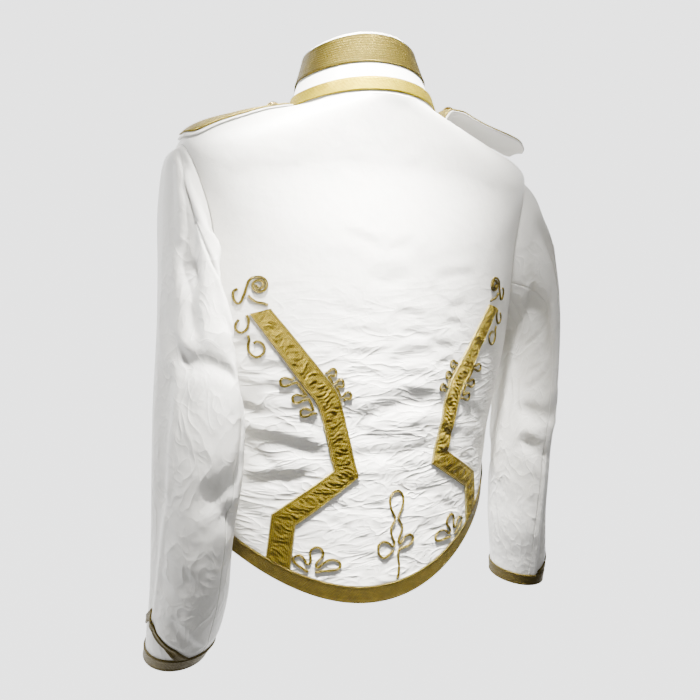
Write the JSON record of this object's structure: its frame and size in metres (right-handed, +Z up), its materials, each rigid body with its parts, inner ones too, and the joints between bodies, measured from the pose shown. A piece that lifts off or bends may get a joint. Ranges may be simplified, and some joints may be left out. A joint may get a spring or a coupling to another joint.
{
  "type": "hussar jacket",
  "caption": "Short white hussar jacket with a stand collar, shoulder straps, long curved sleeves, gold lace on collar, hem, cuffs and back seams, and looped gold braid.",
  "frame": {"origin": "middle of the neck opening, level with the neck's sides, where the wearer's shoulders carry the jacket", "axes": "+Z up along the wearer, +Y out of the back, +X towards the wearer's left sleeve"},
  "size_m": [0.5082, 0.2252, 0.6502],
  "materials": {
    "white_satin": "soft white satin",
    "gold_lace": "woven gold lace with a metallic sheen",
    "gold_braid": "olive-gold soutache braid",
    "gilt_metal": "polished gilt"
  },
  "bodies": {
    "root": {"back": "white_satin", "centre_motif": "gold_braid", "collar": "white_satin", "collar_lace_lower": "gold_lace", "collar_lace_upper": "gold_lace", "front_button_1": "gilt_metal", "front_button_2": "gilt_metal", "front_button_3": "gilt_metal", "front_button_4": "gilt_metal", "front_button_5": "gilt_metal", "front_button_6": "gilt_metal", "front_button_7": "gilt_metal", "hem_lace": "gold_lace", "left_back_lace": "gold_lace", "left_cuff_lace": "gold_lace", "left_front": "white_satin", "left_inner_loops": "gold_braid", "left_knot_bridge": "gold_braid", "left_knot_drop": "gold_braid", "left_knot_hook": "gold_braid", "left_knot_spiral": "gold_braid", "left_outer_loops": "gold_braid", "left_point_lace": "gold_lace", "left_strap": "white_satin", "left_strap_button": "gilt_metal", "left_strap_lace": "gold_lace", "left_top_sleeve": "white_satin", "left_trefoil": "gold_braid", "left_under_sleeve": "white_satin", "right_back_lace": "gold_lace", "right_cuff_lace": "gold_lace", "right_front": "white_satin", "right_inner_loops": "gold_braid", "right_knot_bridge": "gold_braid", "right_knot_drop": "gold_braid", "right_knot_hook": "gold_braid", "right_knot_spiral": "gold_braid", "right_outer_loops": "gold_braid", "right_point_lace": "gold_lace", "right_strap": "white_satin", "right_strap_button": "gilt_metal", "right_strap_lace": "gold_lace", "right_top_sleeve": "white_satin", "right_trefoil": "gold_braid", "right_under_sleeve": "white_satin"}
  },
  "joints": []
}
